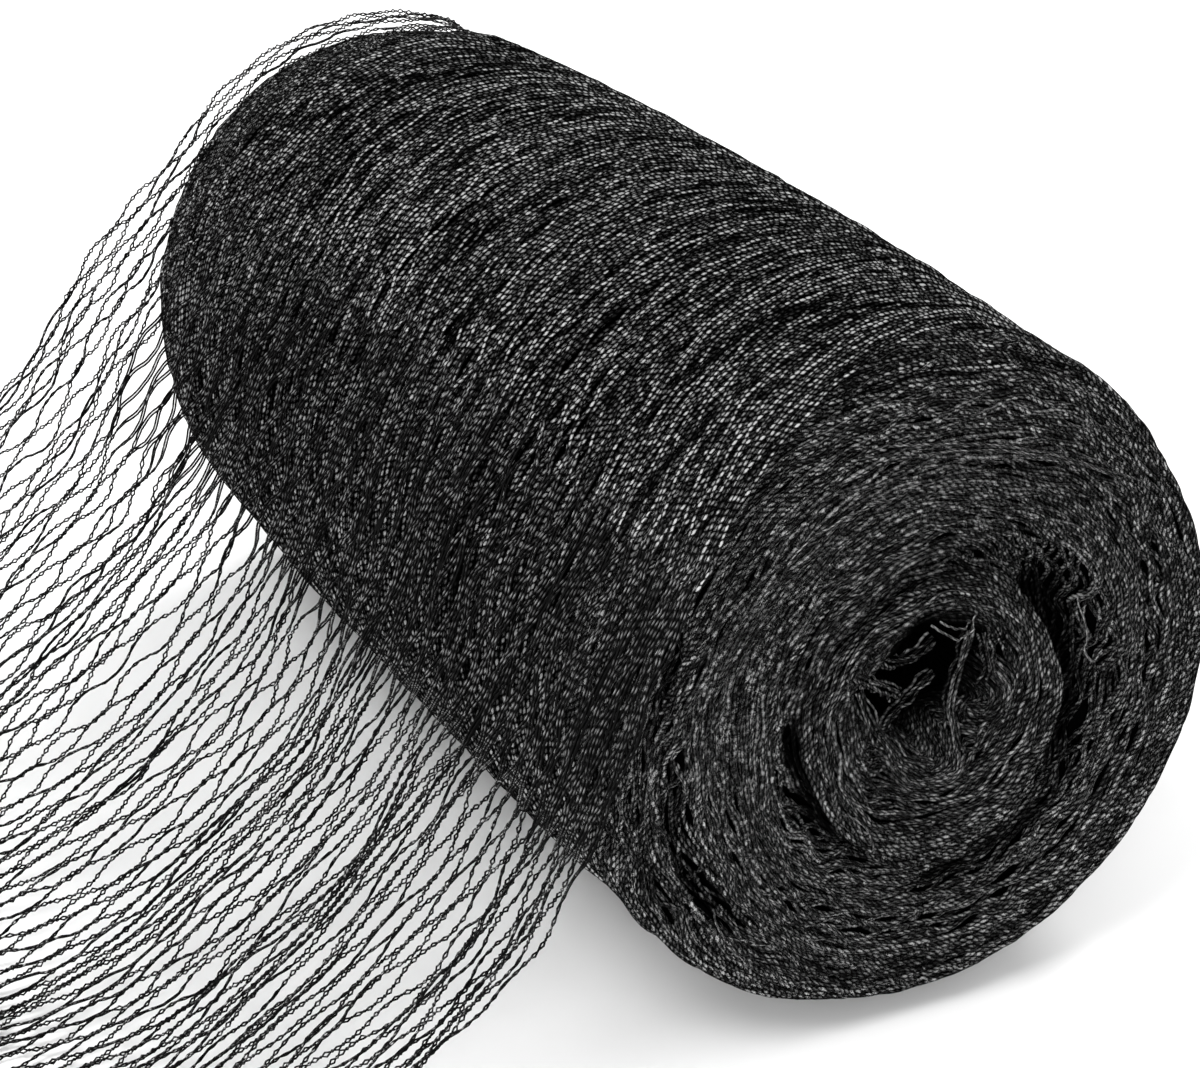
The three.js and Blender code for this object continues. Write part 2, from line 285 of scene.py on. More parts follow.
# A smooth curve through a few points in millimetres, and its length up to each of its points
def smooth_curve(points, steps):
    points = np.array(points, float) * MM
    before = np.concatenate([points[:1], points[:-1]])
    after = np.concatenate([points[1:], points[-1:]])
    t = np.linspace(0, 1, steps, endpoint=False)[:, None]
    made = []
    for i in range(len(points) - 1):
        start, end = points[i], points[i + 1]
        leaving = (end - before[i]) / 2
        arriving = (after[i + 1] - start) / 2
        bend = (2 * start - 2 * end + leaving + arriving) * t**3
        made.append(bend + (3 * end - 3 * start - 2 * leaving - arriving) * t**2 + leaving * t + start)
    made = np.concatenate(made + [points[-1:]])
    length = np.concatenate([[0], np.cumsum(np.linalg.norm(np.diff(made, axis=0), axis=1))])
    return made, length


near_route, near_length = smooth_curve([near for near, far in FREE_ROUTE], 40)
far_route, far_length = smooth_curve([far for near, far in FREE_ROUTE], 40)


def route_at(route, length, share):
    return [np.interp(share, length / length[-1], route[:, i]) for i in (0, 1)]


def edge_at(edge, line):
    start, leaves, end = edge
    seated = mix(start, leaves, np.clip(line, 0, SEATED_LINES) / SEATED_LINES)
    return seated + (end - leaves) * np.clip(line - SEATED_LINES, 0, FREE_LINES) / FREE_LINES


def seat_height(x):
    return SEAT_HEIGHT + FLARE_LIFT * smoothstep(x, SHOULDER - FLARE_REACH, SHOULDER + FLARE_REACH / 2)


# The loose layer's middle surface: line counts along the yarns, across runs 0 to 1 from far to near
def layer_middle(line, across):
    line, across = np.broadcast_arrays(line, across)
    x = mix(edge_at(FAR_EDGE, line), edge_at(NEAR_EDGE, line), across)
    angle = mix(LAYER_START, LEAVES_AT, np.minimum(line, SEATED_LINES) / SEATED_LINES)
    seated = on_section(x, body_radius(x, np.maximum(angle, LAYER_START + 1e-4)) + seat_height(x), angle)
    share = np.clip((line - SEATED_LINES) / FREE_LINES, 0, 1)
    near_y, near_z = route_at(near_route, near_length, share)
    far_y, far_z = route_at(far_route, far_length, share)
    start_y, start_z = np.moveaxis(mix(far_route[0], near_route[0], across[..., None]), -1, 0)
    held = np.maximum(0, 1 - share / HELD_SHARE) ** 2
    hangs = np.sin(math.pi * np.minimum(1, share / HANGING_SHARE)) ** 2
    wave = WAVE_HEIGHT * hangs * np.sin(2 * math.pi * WAVES_ACROSS * across + WAVE_DRIFT * share)
    y = mix(far_y, near_y, across) + held * (seated[..., 1] - start_y)
    z = mix(far_z, near_z, across) + held * (seated[..., 2] - start_z) + wave
    free = np.stack([x, y, z], axis=-1)
    return np.where((line < SEATED_LINES)[..., None], seated, free)


# One mesh of many like tubes. paths is yarns x points x 3; side and up are unit vectors at each point
# shade scales the painted highlights of the stitches: below 1 it paints shade, above 1 extra light; on open
# chains it also sets how long their stitches are
def tube_mesh(name, paths, side, up, half_width, height, tone, shade):
    yarns, points, _ = paths.shape
    half_width = np.broadcast_to(half_width, (yarns, points))[..., None]
    foot = up * height * FOOT_SHARE
    left = paths - side * half_width - foot
    right = paths + side * half_width - foot
    crest = paths + up * height
    vertices = np.stack([left, right, crest], axis=2).reshape(-1, 3)
    corner = np.arange(3)
    following = (corner + 1) % 3
    start = (np.arange(yarns)[:, None] * points + np.arange(points - 1)).reshape(-1, 1) * 3
    ahead = start + 3
    quads = np.stack([start + corner, start + following, ahead + following, ahead + corner], axis=-1)
    first = np.arange(yarns)[:, None] * points * 3
    last = first + (points - 1) * 3
    caps = np.concatenate([first + corner[::-1], last + corner])
    mesh = bpy.data.meshes.new(name)
    fill_mesh(mesh, vertices, quads.reshape(-1, 4), caps)
    run = np.linalg.norm(np.diff(paths, axis=1), axis=2)
    along = np.concatenate([np.zeros((yarns, 1)), np.cumsum(run, axis=1)], axis=1)
    add_attribute(mesh, "cross", np.tile([-1.0, 1.0, 0.0], yarns * points))
    for title, values in (("along", along), ("tone", tone), ("shade", shade)):
        spread = np.broadcast_to(values, (yarns, points)).reshape(-1)
        add_attribute(mesh, title, np.repeat(spread, 3))
    return link(name, mesh)


def fill_mesh(mesh, vertices, quads, triangles):
    mesh.vertices.add(len(vertices))
    mesh.vertices.foreach_set("co", vertices.astype(np.float32).reshape(-1))
    loops = np.concatenate([quads.reshape(-1), triangles.reshape(-1)]).astype(np.int32)
    mesh.loops.add(len(loops))
    mesh.loops.foreach_set("vertex_index", loops)
    starts = np.concatenate([np.arange(len(quads)) * 4, 4 * len(quads) + np.arange(len(triangles)) * 3])
    mesh.polygons.add(len(starts))
    mesh.polygons.foreach_set("loop_start", starts.astype(np.int32))
    mesh.polygons.foreach_set("use_smooth", np.ones(len(starts), bool))
    mesh.update(calc_edges=True)
    mesh.validate()


def add_attribute(mesh, name, values):
    layer = mesh.attributes.new(name, "FLOAT", "POINT")
    layer.data.foreach_set("value", values.astype(np.float32))


def link(name, mesh):
    piece = bpy.data.objects.new(name, mesh)
    bpy.context.scene.collection.objects.link(piece)
    return piece


# Depth of the near end's creases at points with these distances and angles from the axis
def crease_depth(radius, angle):
    total = np.zeros(radius.shape)
    for route, width, depth in CREASES:
        places, distances = np.array(route, float).T
        span = places[-1] - places[0]
        turned = (np.degrees(angle) - places[0]) % 360
        middle = np.interp(turned, places - places[0], distances * MM)
        ends = smoothstep(turned, 0, 12) * (1 - smoothstep(turned, span - 12, span))
        total += depth * MM * ends * np.exp(-(((radius - middle) / (width * MM)) ** 2))
    return total


class Skin:
    """Outer surface of the roll, read from its solid by rays: rows along its outline, columns around it."""

    FAN_ROWS = 100
    FAN_ANGLES = (87.5, 2.5)
    BODY_ROWS = 50
    COLUMNS = 200
    RAY_START = 0.5
    WIDE_ROUNDS = 60
    # Painted shade: how much darker the deepest places are painted, and the depths over which it comes in
    CREASE_SHADE = 0.7
    CREASE_DEPTHS = (1.2 * MM, 4.5 * MM)

    def __init__(self, node):
        solid = bpy.data.objects[node]
        self.tree = BVHTree.FromObject(solid, bpy.context.evaluated_depsgraph_get())
        fan = np.radians(np.linspace(*self.FAN_ANGLES, self.FAN_ROWS))
        inner = SHOULDER - FAN_INSET
        rows = [(-inner, -tilt) for tilt in fan]
        rows += [(x, 0.0) for x in np.linspace(-inner, inner, self.BODY_ROWS)]
        rows += [(inner, tilt) for tilt in fan[::-1]]
        angles = np.linspace(0, 2 * math.pi, self.COLUMNS, endpoint=False)
        self.points = np.array([[self.hit(x, tilt, angle) for angle in angles] for x, tilt in rows])
        self.smooth()
        self.measure()
        self.crease()
        self.measure()
        # Painted shade of the creases and the hollow, for the yarns laid over the skin
        self.shade = self.painted_hollow_shade()

    def hit(self, x, tilt, angle):
        out = Vector((math.sin(tilt), math.cos(tilt) * math.cos(angle), math.cos(tilt) * math.sin(angle)))
        centre = Vector((x, 0, AXIS_HEIGHT))
        place, _, _, _ = self.tree.ray_cast(centre + out * self.RAY_START, -out)
        return tuple(place)

    def smooth(self):
        for _ in range(2):
            around = (np.roll(self.points, 1, axis=1) + np.roll(self.points, -1, axis=1)) / 2
            self.points = (self.points + around) / 2
            rows = self.points.copy()
            rows[1:-1] = (self.points[:-2] + 2 * self.points[1:-1] + self.points[2:]) / 4
            self.points = rows

    def measure(self):
        steps = np.linalg.norm(np.diff(self.points, axis=0), axis=2).mean(axis=1)
        self.travel = np.concatenate([[0], np.cumsum(steps)])
        along = np.gradient(self.points, axis=0)
        around = (np.roll(self.points, -1, axis=1) - np.roll(self.points, 1, axis=1)) / 2
        self.normals = unit(np.cross(around, along))
        outwards = self.points - np.array([0, 0, AXIS_HEIGHT])
        if np.mean(np.sum(self.normals * outwards, axis=2)) < 0:
            self.normals = -self.normals

    def crease(self):
        x, y, z = np.moveaxis(self.points, 2, 0)
        radius = np.hypot(y, z - AXIS_HEIGHT)
        angle = np.arctan2(z - AXIS_HEIGHT, y)
        depth = crease_depth(radius, angle) * smoothstep(x, SHOULDER, SHOULDER + 6 * MM)
        self.points = self.points - self.normals * depth[..., None]

    # Painted shade: 1 on the open surface, darker where it lies deep under its surroundings, as in the
    # creases and the hollow
    def painted_hollow_shade(self):
        wide = self.points.copy()
        for _ in range(self.WIDE_ROUNDS):
            wide[1:-1] = (wide[:-2] + 2 * wide[1:-1] + wide[2:]) / 4
        depth = np.sum((wide - self.points) * self.normals, axis=2)
        shade = 1 - self.CREASE_SHADE * smoothstep(depth, *self.CREASE_DEPTHS)
        x, y, z = np.moveaxis(self.points, 2, 0)
        from_hollow = np.where(x > 0, np.hypot(y, z - AXIS_HEIGHT - HOLLOW_RISE), 1)
        return shade * mix(HOLLOW_SHADE, 1, smoothstep(from_hollow, 0.7 * HOLLOW_RADIUS, HOLLOW_RADIUS))

    # Points, normals and painted shade at a length travelled along the outline and an angle around the axis
    def at(self, travelled, angle):
        row = np.interp(travelled, self.travel, np.arange(len(self.travel)))
        column = (angle / (2 * math.pi) * self.COLUMNS) % self.COLUMNS
        r0 = np.clip(np.floor(row).astype(int), 0, len(self.travel) - 2)
        c0 = np.floor(column).astype(int) % self.COLUMNS
        c1 = (c0 + 1) % self.COLUMNS
        row_share, column_share = row - r0, column - np.floor(column)

        def blend(table):
            across = column_share[..., None] if table.ndim == 3 else column_share
            up = row_share[..., None] if table.ndim == 3 else row_share
            low = mix(table[r0, c0], table[r0, c1], across)
            high = mix(table[r0 + 1, c0], table[r0 + 1, c1], across)
            return mix(low, high, up)

        return blend(self.points), unit(blend(self.normals)), blend(self.shade)


skin = Skin("net_roll")
travel_end = skin.travel[-1]
body_from = skin.travel[Skin.FAN_ROWS]
body_to = skin.travel[Skin.FAN_ROWS + Skin.BODY_ROWS - 1]


# A wander of whole waves around each turn, with wavelengths between two lengths
def wander(source, length, angle, shortest, longest):
    total = np.zeros(angle.shape)
    for _ in range(4):
        waves = np.maximum(1, np.round(length / source.uniform(shortest, longest, length.shape)))
        total += np.sin(waves * angle + source.uniform(0, 2 * math.pi, length.shape))
    return total / 2


# The sway that neighbouring turns share
def shared_sway(source, places, angle, scale):
    total = np.zeros(angle.shape)
    for _ in range(10):
        pace = source.uniform(0.2, 1) * 2 * math.pi / scale
        total += np.sin(pace * places + source.integers(1, 8) * angle + source.uniform(0, 2 * math.pi))
    return total / math.sqrt(5)


# Turns of yarn over the skin; each starts and ends under the roll
def turns(name, low, high, count, height, points, shared, own, waves, seed):
    source = np.random.default_rng(seed)
    spacing = (high - low) / count
    places = (low + spacing * (np.arange(count) + source.uniform(-0.35, 0.35, count) + 0.5))[:, None]
    angle = np.broadcast_to(np.linspace(-math.pi / 2, 1.5 * math.pi, points), (count, points))
    flat, _, _ = skin.at(np.broadcast_to(np.clip(places, 0, travel_end), angle.shape), angle)
    length = np.linalg.norm(np.diff(flat, axis=1), axis=2).sum(axis=1)[:, None]
    sway = shared * shared_sway(source, places, angle, SWAY_LENGTH)
    sway = sway + own * wander(source, length, angle, *waves)
    place, normal, shade = skin.at(np.clip(places + sway, 0, travel_end), angle)
    lift = height + LIFT_SWAY * wander(source, length, angle, *waves)
    centre = place + normal * lift[..., None]
    centre[..., 2] = np.maximum(centre[..., 2], FLOOR_GAP)
    side = unit(np.cross(np.gradient(centre, axis=1), normal))
    tone = source.uniform(0, 1, (count, 1))
    width = ROLL_YARN_WIDTH * source.uniform(0.8, 1.2, (count, 1))
    return tube_mesh(name, centre, side, normal, width, ROLL_YARN_HEIGHT, tone, shade)


def body_turns():
    made = []
    low, high = body_from - FAR_RUN_ON, body_to + NEAR_RUN_ON
    sway = (BODY_SHARED_SWAY, BODY_OWN_SWAY)
    for layer, (height, count, points) in enumerate(BODY_LAYERS):
        name = f"body_turns_{layer}"
        made.append(turns(name, low, high, count, height * MM, points, *sway, BODY_WAVES, seed=40 + layer))
    return made


def end_turns(name, low, high, points, own, layers, seed):
    made = []
    count = int(abs(high - low) / END_SPACING)
    sway = (END_SHARED_SWAY, own)
    for layer, height in enumerate(layers):
        title = f"{name}_{layer}"
        made.append(turns(title, low, high, count, height * MM, points, *sway, END_WAVES, seed + layer))
    return made


# The dark body under the yarns: the roll's inner black netting, made near black also as painted shade in the
# gaps between the yarns
def dark_body():
    rows = (skin.points - skin.normals * DARK_BODY_DEPTH)[:, ::2]
    count, columns, _ = rows.shape
    ends = np.array([rows[0].mean(axis=0), rows[-1].mean(axis=0)])
    r, c = np.meshgrid(np.arange(count - 1), np.arange(columns), indexing="ij")
    after = (c + 1) % columns
    here, ahead = r * columns, (r + 1) * columns
    quads = np.stack([here + c, ahead + c, ahead + after, here + after], -1)
    c, after = c[0], after[0]
    first, last = np.full(columns, count * columns), np.full(columns, count * columns + 1)
    base = (count - 1) * columns
    caps = np.concatenate([np.stack([first, c, after], -1), np.stack([last, base + after, base + c], -1)])
    mesh = bpy.data.meshes.new("dark_body")
    fill_mesh(mesh, np.concatenate([rows.reshape(-1, 3), ends]), quads.reshape(-1, 4), caps)
    return link("dark_body", mesh)


# Yarns bundled round a fold's middle line, on the side that faces outwards
def fold_yarns(routes, radius, yarns):
    paths, ups = [], []
    outwards = np.array([1.0, 0, 0])
    for route in routes:
        middle, length = smooth_curve(route, 12)
        spread = np.linspace(0, length[-1], FOLD_POINTS)
        middle = np.stack([np.interp(spread, length, middle[:, i]) for i in range(3)], axis=-1)
        middle[:, 2] += AXIS_HEIGHT
        over = unit(np.cross(np.gradient(middle, axis=0), outwards))
        up = unit(np.cross(over, np.gradient(middle, axis=0)))
        for share in np.linspace(0.05, 0.95, yarns) if yarns > 1 else [0.5]:
            turned = math.pi * share
            normal = over * math.cos(turned) + up * math.sin(turned)
            paths.append(middle + normal * radius)
            ups.append(normal)
    return np.array(paths), np.array(ups)


def fold_mesh(name, routes, radius, yarns, half_width, shade, seed):
    source = np.random.default_rng(seed)
    paths, ups = fold_yarns(routes, radius, yarns)
    step = np.arange(paths.shape[1])
    for _ in range(3):
        pace = source.uniform(0.15, 0.7, (len(paths), 1))
        wave = np.sin(pace * step + source.uniform(0, 2 * math.pi, (len(paths), 1)))
        paths = paths + ups * (FOLD_SWAY * wave)[..., None]
    side = unit(np.cross(np.gradient(paths, axis=1), ups))
    tone = source.uniform(0, 1, (len(paths), 1))
    return tube_mesh(name, paths, side, ups, half_width, half_width * 0.7, tone, shade)


# The yarns lie closer together towards the near edge
def crowded(share):
    return share + CROWDING * np.sin(math.pi * share) / math.pi


# How far a yarn leans to its partner: +1 and -1 at the joints, nearly straight between them
def lean(phase):
    wave = 2 * np.abs(2 * (phase - np.floor(phase + 0.5))) - 1
    return np.sin(np.clip(wave / (1 - JOINT_SHARE), -1, 1) * math.pi / 2)


class LooseYarns:
    """Middle lines of the loose net's yarns, between two lines of the layer."""

    PHASE_DRIFT = 0.22
    KEPT_APART = 0.15 * YARN_WIDTH
    SEATED_REACH = 0.55
    EDGE_CALM = 12
    WIDE_SWAY = 1.6 * MM
    SMALL_SWAY = 0.4 * MM
    SEATED_LIFT = 0.25
    HANGING_LIFT = 0.6
    TUCK_DEPTH = 3.2 * MM
    NEARBY = 0.02

    def __init__(self, start, end, points):
        self.line = np.linspace(start, end, points)[None, :]
        yarn = np.arange(LOOSE_YARNS)
        centre = crowded((yarn + 0.5) / LOOSE_YARNS)[:, None]
        gap = np.diff(crowded(np.arange(LOOSE_YARNS + 1) / LOOSE_YARNS))[:, None]
        width = edge_at(NEAR_EDGE, self.line) - edge_at(FAR_EDGE, self.line)
        calm_edges = np.minimum(1, self.EDGE_CALM * np.minimum(centre, 1 - centre))
        turn = np.where(yarn % 2 == 0, 1, -1)[:, None]
        drift = Waves(seed=5, count=12, first_scale=14, second_scale=0.2).at(centre, self.line)
        phase = self.line + self.PHASE_DRIFT * drift
        reach = np.maximum(gap / 2 - self.KEPT_APART / width, 0)
        reach = reach * mix(self.SEATED_REACH, 1, smoothstep(self.line, SEATED_LINES - 1, SEATED_LINES + 1))
        across = centre + turn * reach * lean(phase)
        wide = Waves(seed=7, count=16, first_scale=9, second_scale=0.12).at(across, self.line)
        small = Waves(seed=11, count=24, first_scale=55, second_scale=0.5).at(across, self.line)
        across = across + calm_edges * (self.WIDE_SWAY * wide + self.SMALL_SWAY * small) / width
        self.place = layer_middle(self.line, across)
        near = self.NEARBY
        forward = unit(layer_middle(self.line + near, across) - layer_middle(self.line - near, across))
        over = unit(layer_middle(self.line, across + near) - layer_middle(self.line, across - near))
        self.up = unit(np.cross(forward, over))
        last_line = SEATED_LINES + FREE_LINES
        hangs = smoothstep(self.line, SEATED_LINES, SEATED_LINES + 2)
        hangs = hangs * (1 - smoothstep(self.line, last_line - 4, last_line - 2))
        uneven = Waves(seed=13, count=18, first_scale=40, second_scale=0.5).at(centre, self.line)
        lift = MM * (self.SEATED_LIFT + self.HANGING_LIFT * hangs) * uneven
        tuck = self.TUCK_DEPTH * smoothstep(-self.line, -0.2, TUCK_LINES)
        self.place = self.place + self.up * (lift - tuck)[..., None]
        self.side = unit(np.cross(np.gradient(self.place, axis=1), self.up))
        self.tone = np.random.default_rng(17).uniform(0, 1, (LOOSE_YARNS, 1))

    def pick(self, chosen):
        return (part[chosen] for part in (self.place, self.side, self.up, self.tone))


# Open chains: each yarn is two strands, side by side over the roll, that cross at every stitch beyond it
def open_chains(name, yarns, chosen, seed):
    source = np.random.default_rng(seed)
    place, side, up, tone = yarns.pick(chosen)
    count, points, _ = place.shape
    opened = np.maximum(chosen[:, None] < CLEAR_EDGE_YARNS, smoothstep(yarns.line - OPENS_AT_LINE, -0.3, 0.3))
    swing = np.where((np.arange(points) + source.integers(0, 2, (count, 1))) % 2 == 0, 1.0, -1.0)
    swing = STRAND_SWING * mix(1, swing * source.uniform(0.75, 1.2, (count, points)), opened)
    turned = Waves(seed + 1, count=14, first_scale=0.45, second_scale=0.5)
    twist = STRAND_TWIST * opened * turned.at(np.arange(count)[:, None], yarns.line)
    flat = side * (np.cos(twist) * swing)[..., None]
    tall = up * (np.sin(twist) * swing + STRAND_LIFT)[..., None]
    middle = place + source.normal(0, TREMBLE, (count, points, 3)) * mix(CLOSED_TREMBLE, 1, opened)[..., None]
    paths = np.concatenate([middle + flat + tall, middle - flat - tall])
    paths[..., 2] = np.maximum(paths[..., 2], STRAND_HEIGHT * 1.2)
    width = STRAND_WIDTH * mix(CLOSED_WIDENING, 1, opened)
    shade = mix(CLOSED_SHADE, 1, opened)
    side, up, width, tone, shade = (np.concatenate([part] * 2) for part in (side, up, width, tone, shade))
    return tube_mesh(name, paths, side, up, width, STRAND_HEIGHT, tone, shade)


def hanging_net():
    points = int(FREE_LINES * LINE_LENGTH / STITCH)
    yarns = LooseYarns(SEATED_LINES - 0.1, SEATED_LINES + FREE_LINES, points)
    strips = np.array_split(np.arange(LOOSE_YARNS), len(LOOSE_STRIPS))
    return [open_chains(name, yarns, strip, 23 + strip[0]) for name, strip in zip(LOOSE_STRIPS, strips)]


# The part that lies on the roll, as flat chains
def seated_net():
    points = int((SEATED_LINES + TUCK_LINES) * SEATED_LINE_LENGTH / SEATED_STEP)
    yarns = LooseYarns(-TUCK_LINES, SEATED_LINES + 0.3, points)
    place, side, up, tone = yarns.pick(slice(OPEN_EDGE_YARNS, None))
    return tube_mesh("seated_net", place, side, up, YARN_WIDTH / 2, SEATED_YARN_HEIGHT, tone, 1.0)


# Its first yarns, as open chains, where it stands out over the far end
def seated_edge():
    points = int((SEATED_LINES + TUCK_LINES) * SEATED_LINE_LENGTH / STITCH)
    yarns = LooseYarns(-TUCK_LINES, SEATED_LINES, points)
    return open_chains("seated_edge", yarns, np.arange(OPEN_EDGE_YARNS), 31)


# Materials
def material(name, roughness, colour, gloss):
    made = bpy.data.materials.new(name)
    made.use_nodes = True
    shader = made.node_tree.nodes["Principled BSDF"]
    shader.inputs["Roughness"].default_value = roughness
    shader.inputs["Base Color"].default_value = (*colour, 1)
    shader.inputs["Specular IOR Level"].default_value = gloss
    return made, made.node_tree, shader


def node(tree, kind, **settings):
    made = tree.nodes.new(kind)
    for key, value in settings.items():
        setattr(made, key, value)
    return made


def attribute(tree, name):
    return node(tree, "ShaderNodeAttribute", attribute_name=name).outputs["Fac"]


def maths(tree, operation, *values):
    made = node(tree, "ShaderNodeMath", operation=operation)
    for socket, value in zip(made.inputs, values):
        if isinstance(value, (int, float)):
            socket.default_value = value
        else:
            tree.links.new(value, socket)
    return made.outputs[0]


def ramp(tree, value, stops):
    made = node(tree, "ShaderNodeValToRGB")
    tree.links.new(value, made.inputs[0])
    elements = made.color_ramp.elements
    while len(elements) < len(stops):
        elements.new(0.5)
    for element, (place, grey) in zip(elements, stops):
        element.position = place
        element.color = (grey, grey, grey, 1)
    return made.outputs[0]


def bumps(tree, shader, height, strength, distance):
    bump = node(tree, "ShaderNodeBump")
    bump.inputs["Strength"].default_value = strength
    bump.inputs["Distance"].default_value = distance
    tree.links.new(height, bump.inputs["Height"])
    tree.links.new(bump.outputs["Normal"], shader.inputs["Normal"])


def noise(tree, scale, detail):
    made = node(tree, "ShaderNodeTexNoise")
    made.inputs["Scale"].default_value = scale
    made.inputs["Detail"].default_value = detail
    return made.outputs["Fac"]


# Painted shade in the slits between bunches of yarns, long around the roll: 1 on a bunch, darker in a slit
def slit_shade(tree):
    place = node(tree, "ShaderNodeSeparateXYZ")
    tree.links.new(node(tree, "ShaderNodeNewGeometry").outputs["Position"], place.inputs[0])
    stretched = node(tree, "ShaderNodeCombineXYZ")
    tree.links.new(place.outputs[0], stretched.inputs[0])
    for axis in (1, 2):
        tree.links.new(maths(tree, "MULTIPLY", place.outputs[axis], SLIT_STRETCH), stretched.inputs[axis])
    cloud = node(tree, "ShaderNodeTexNoise")
    cloud.inputs["Scale"].default_value = SLIT_SCALE
    cloud.inputs["Detail"].default_value = 2
    tree.links.new(stretched.outputs[0], cloud.inputs["Vector"])
    bunch = maths(tree, "MULTIPLY_ADD", cloud.outputs["Fac"], SLIT_CONTRAST, SLIT_OFFSET)
    return maths(tree, "MAXIMUM", maths(tree, "MINIMUM", bunch, 1.0), SLIT_FLOOR)


# Strands of an open chain: a row of stitches along each, each stitch with a painted highlight of its own in
# the base colour, near black as painted shade between them
def strand_material():
    made, tree, shader = material("netting_strand", 0.45, (0.02, 0.02, 0.02), 0.05)
    tone = maths(tree, "MULTIPLY", attribute(tree, "tone"), TONE_SHIFT)
    shade = attribute(tree, "shade")
    stitches = maths(tree, "MULTIPLY", attribute(tree, "along"), maths(tree, "DIVIDE", shade, STITCH))
    along = maths(tree, "ADD", stitches, tone)
    chance = node(tree, "ShaderNodeTexWhiteNoise", noise_dimensions="2D")
    place = node(tree, "ShaderNodeCombineXYZ")
    tree.links.new(maths(tree, "FLOOR", along), place.inputs[0])
    tree.links.new(maths(tree, "MULTIPLY", tone, STRAND_TONE_PICK), place.inputs[1])
    tree.links.new(place.outputs[0], chance.inputs["Vector"])
    end_to_end = maths(tree, "SINE", maths(tree, "MULTIPLY", maths(tree, "FRACT", along), math.pi))
    crest = maths(tree, "SUBTRACT", 1.0, maths(tree, "ABSOLUTE", attribute(tree, "cross")))
    loop = maths(tree, "MULTIPLY", end_to_end, crest)
    # Where the chain is closed, its painted highlights are steadier and dimmer
    painted_shine = maths(tree, "POWER", chance.outputs["Value"], maths(tree, "MULTIPLY", shade, 1.2))
    painted_shine = maths(tree, "MULTIPLY", painted_shine, maths(tree, "MULTIPLY_ADD", shade, 0.85, 0.15))
    painted_glint = maths(tree, "MULTIPLY", maths(tree, "MULTIPLY", loop, painted_shine), slit_shade(tree))
    tree.links.new(ramp(tree, painted_glint, STRAND_GREYS), shader.inputs["Base Color"])
    return made


# Flat chains: two rows of stitches along each yarn, each stitch a painted highlight in the base colour with
# painted shade around it; ripples sets how far they stray in a tangle
def chain_material(name, ripples, has_slit_shade, level):
    made, tree, shader = material(name, 0.55, (0.02, 0.02, 0.02), 0)
    tone = attribute(tree, "tone")
    ripple = noise(tree, 420, 2)
    sideways = maths(tree, "SUBTRACT", ripple, 0.5)
    cross = maths(tree, "MULTIPLY_ADD", sideways, ripples, attribute(tree, "cross"))
    row = maths(tree, "FLOOR", cross)
    shifted = maths(tree, "MULTIPLY_ADD", row, 0.5, maths(tree, "MULTIPLY", tone, TONE_SHIFT))
    along = maths(tree, "ADD", maths(tree, "DIVIDE", attribute(tree, "along"), ROLL_STITCH), shifted)
    along = maths(tree, "MULTIPLY_ADD", ripple, ripples, along)
    slant = maths(tree, "MULTIPLY_ADD", maths(tree, "ABSOLUTE", cross), 0.4, along)
    stitch = maths(tree, "FLOOR", slant)
    within = maths(tree, "FRACT", slant)
    place = node(tree, "ShaderNodeCombineXYZ")
    for socket, value in zip(place.inputs, (stitch, maths(tree, "MULTIPLY", tone, CHAIN_TONE_PICK), row)):
        tree.links.new(value, socket)
    chance = node(tree, "ShaderNodeTexWhiteNoise", noise_dimensions="3D")
    tree.links.new(place.outputs[0], chance.inputs["Vector"])
    end_to_end = maths(tree, "SINE", maths(tree, "MULTIPLY", within, math.pi))
    side_to_side = maths(tree, "ABSOLUTE", maths(tree, "SINE", maths(tree, "MULTIPLY", cross, math.pi)))
    loop = maths(tree, "MULTIPLY", end_to_end, maths(tree, "POWER", side_to_side, 1.4))
    painted_shine = maths(tree, "MULTIPLY_ADD", maths(tree, "POWER", chance.outputs["Value"], 1.6), 0.75, 0.25)
    patch = maths(tree, "MULTIPLY_ADD", noise(tree, 60, 3), 1.4 * level, 0.35 * level)
    own = maths(tree, "FRACT", maths(tree, "MULTIPLY", tone, TONE_STREAK))
    streak = maths(tree, "MULTIPLY_ADD", own, 0.6, 0.75)
    painted_glint = maths(tree, "MULTIPLY", maths(tree, "MULTIPLY", loop, painted_shine), patch)
    # shade from the yarn: painted shade in the creases and the hollow, painted extra light on stray loops
    painted_glint = maths(tree, "MULTIPLY", maths(tree, "MULTIPLY", painted_glint, streak), attribute(tree, "shade"))
    if has_slit_shade:
        painted_glint = maths(tree, "MULTIPLY", painted_glint, slit_shade(tree))
    tree.links.new(ramp(tree, painted_glint, CHAIN_GREYS), shader.inputs["Base Color"])
    bumps(tree, shader, loop, 0.6, 0.3 * MM)
    return made


# Near black: the net's own black, and darker still as painted shade deep in the gaps
def dark_material():
    made, _, _ = material("netting_depth", 0.9, (0.0006, 0.0006, 0.0006), 0)
    return made


def finish_piece(piece, look, *nodes_replaced):
    piece.data.materials.append(look)
    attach(piece, "root")
    if nodes_replaced:
        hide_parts(*nodes_replaced)


# Floor, light and camera
def stage():
    size = FLOOR_HALF_SIZE
    mesh = bpy.data.meshes.new("floor")
    corners = [(-size, -size, 0), (size, -size, 0), (size, size, 0), (-size, size, 0)]
    mesh.from_pydata(corners, [], [(0, 1, 2, 3)])
    floor = link("floor", mesh)
    look, _, _ = material("pale_floor", 0.7, (0.9, 0.9, 0.9), 0.2)
    mesh.materials.append(look)


def area_light(name, place, target, size, power):
    data = bpy.data.lights.new(name, "AREA")
    data.shape = "DISK"
    data.size = size
    data.energy = power
    lamp = bpy.data.objects.new(name, data)
    bpy.context.scene.collection.objects.link(lamp)
    lamp.location = place
    lamp.rotation_euler = (Vector(target) - Vector(place)).to_track_quat("-Z", "Y").to_euler()


